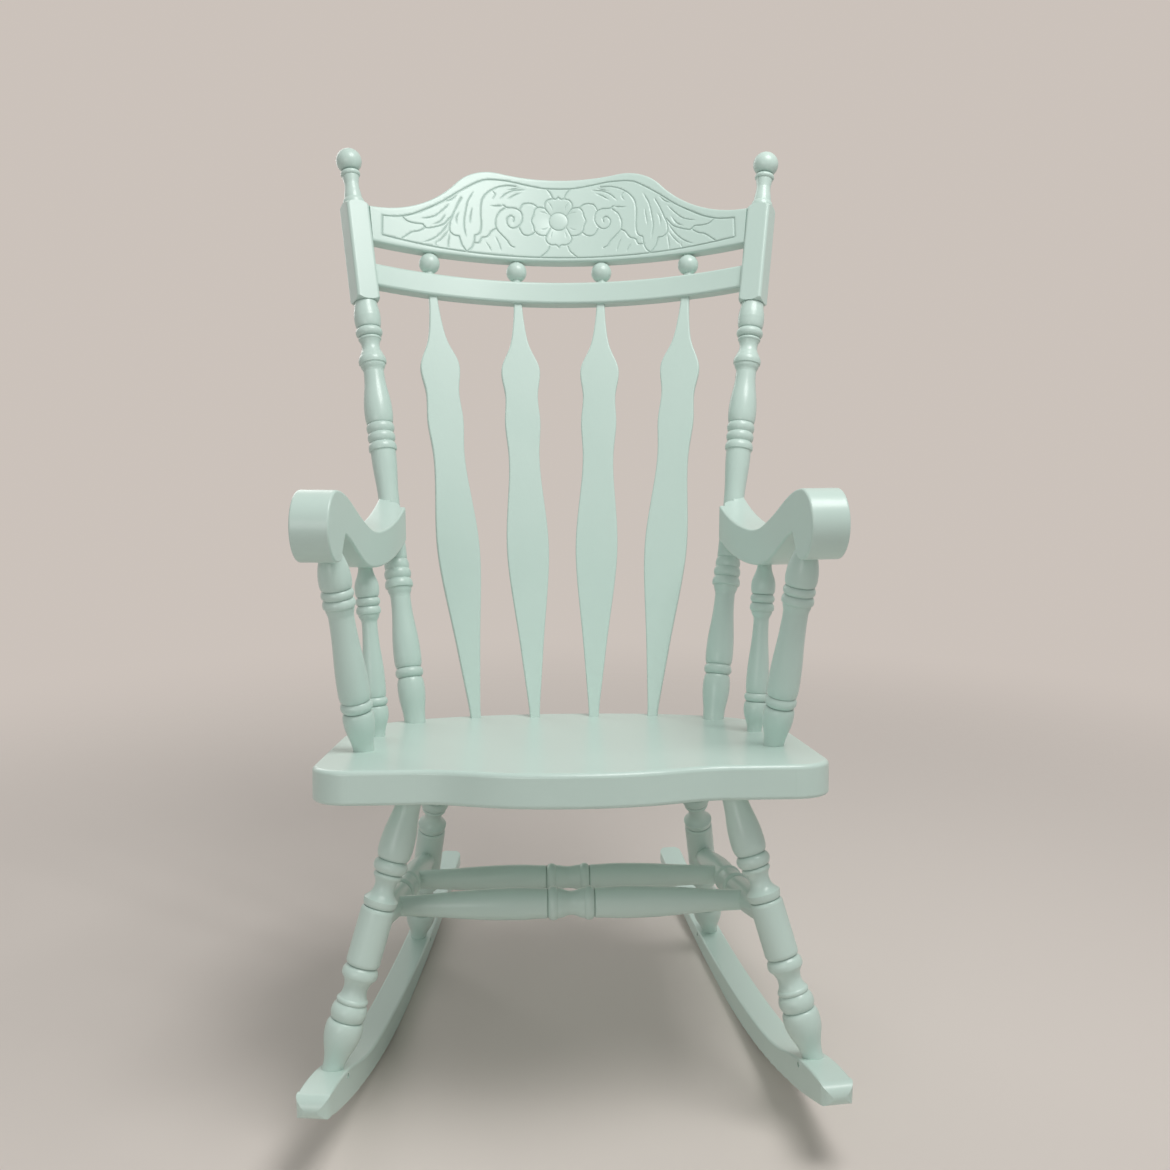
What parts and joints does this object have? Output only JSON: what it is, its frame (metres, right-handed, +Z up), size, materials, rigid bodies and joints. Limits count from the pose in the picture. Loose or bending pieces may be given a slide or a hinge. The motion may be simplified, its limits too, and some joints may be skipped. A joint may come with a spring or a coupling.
{
  "type": "boston rocking chair",
  "caption": "High-backed wooden rocking chair with turned legs and posts, arrow-shaped slats, a bent crest rail with carving, scrolled arms and long rockers.",
  "frame": {"origin": "on the floor under the middle of the chair's overall box", "axes": "+Z up from the floor, -Y the way the sitter faces, X across the chair, with x = 0 its plane of symmetry"},
  "size_m": [0.665, 0.8109, 1.1802],
  "materials": {
    "painted_wood": "semi-gloss mint green paint",
    "painted_pins": "semi-gloss mint green paint over flush wooden pins and plugs",
    "screw_steel": "plain zinc-plated steel"
  },
  "bodies": {
    "root": {"seat": "painted_wood", "rocker_left": "painted_wood", "rocker_right": "painted_wood", "front_leg_left": "painted_wood", "front_leg_right": "painted_wood", "rear_leg_left": "painted_wood", "rear_leg_right": "painted_wood", "side_stretcher_left": "painted_wood", "side_stretcher_right": "painted_wood", "front_cross_stretcher": "painted_wood", "rear_cross_stretcher": "painted_wood", "back_post_left": "painted_wood", "back_post_right": "painted_wood", "arrow_slat_inner_left": "painted_wood", "arrow_slat_inner_right": "painted_wood", "arrow_slat_outer_left": "painted_wood", "arrow_slat_outer_right": "painted_wood", "lower_rail": "painted_wood", "crest_rail": "painted_wood", "ball_spindle_inner_left": "painted_wood", "ball_spindle_inner_right": "painted_wood", "ball_spindle_outer_left": "painted_wood", "ball_spindle_outer_right": "painted_wood", "arm_left": "painted_wood", "arm_right": "painted_wood", "front_arm_post_left": "painted_wood", "front_arm_post_right": "painted_wood", "middle_arm_post_left": "painted_wood", "middle_arm_post_right": "painted_wood", "front_rocker_pin_left": "painted_pins", "front_rocker_pin_right": "painted_pins", "rear_rocker_pin_left": "painted_pins", "rear_rocker_pin_right": "painted_pins", "lower_rail_pin_left": "painted_pins", "lower_rail_pin_right": "painted_pins", "crest_rail_pin_left": "painted_pins", "crest_rail_pin_right": "painted_pins", "arm_screw_plug_left": "painted_pins", "arm_screw_plug_right": "painted_pins", "arm_screw_left": "screw_steel", "arm_screw_right": "screw_steel"}
  },
  "joints": []
}
